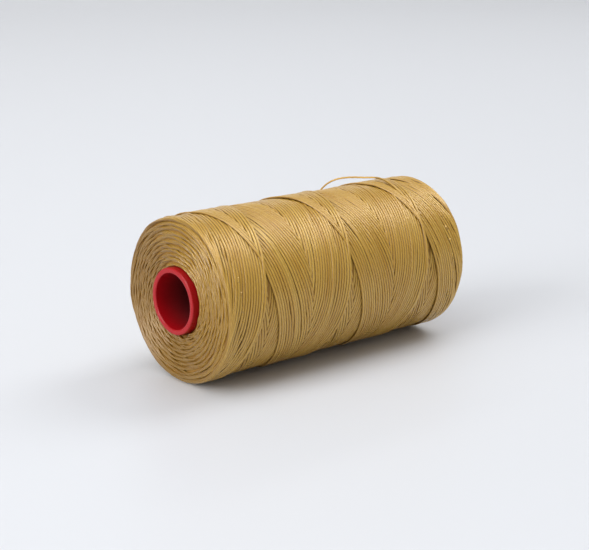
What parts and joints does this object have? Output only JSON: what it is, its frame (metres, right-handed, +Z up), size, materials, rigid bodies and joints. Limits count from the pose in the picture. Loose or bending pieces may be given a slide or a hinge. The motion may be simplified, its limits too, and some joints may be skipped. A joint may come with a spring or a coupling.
{
  "type": "waxed thread spool",
  "caption": "Cross-wound package of waxed sewing thread on a moulded plastic core tube, lying on its side, with a loose thread end.",
  "frame": {"origin": "on the surface that the spool lies on, under the middle of the package", "axes": "+X along the spool's axis from the near end to the far end, +Y to the spool's back, +Z up"},
  "size_m": [0.0848, 0.0578, 0.044],
  "materials": {
    "core_plastic": "satin",
    "waxed_thread": "satin"
  },
  "bodies": {
    "root": {"core_tube": "core_plastic", "thread_winding": "waxed_thread", "thread_loose_end": "waxed_thread"}
  },
  "joints": []
}
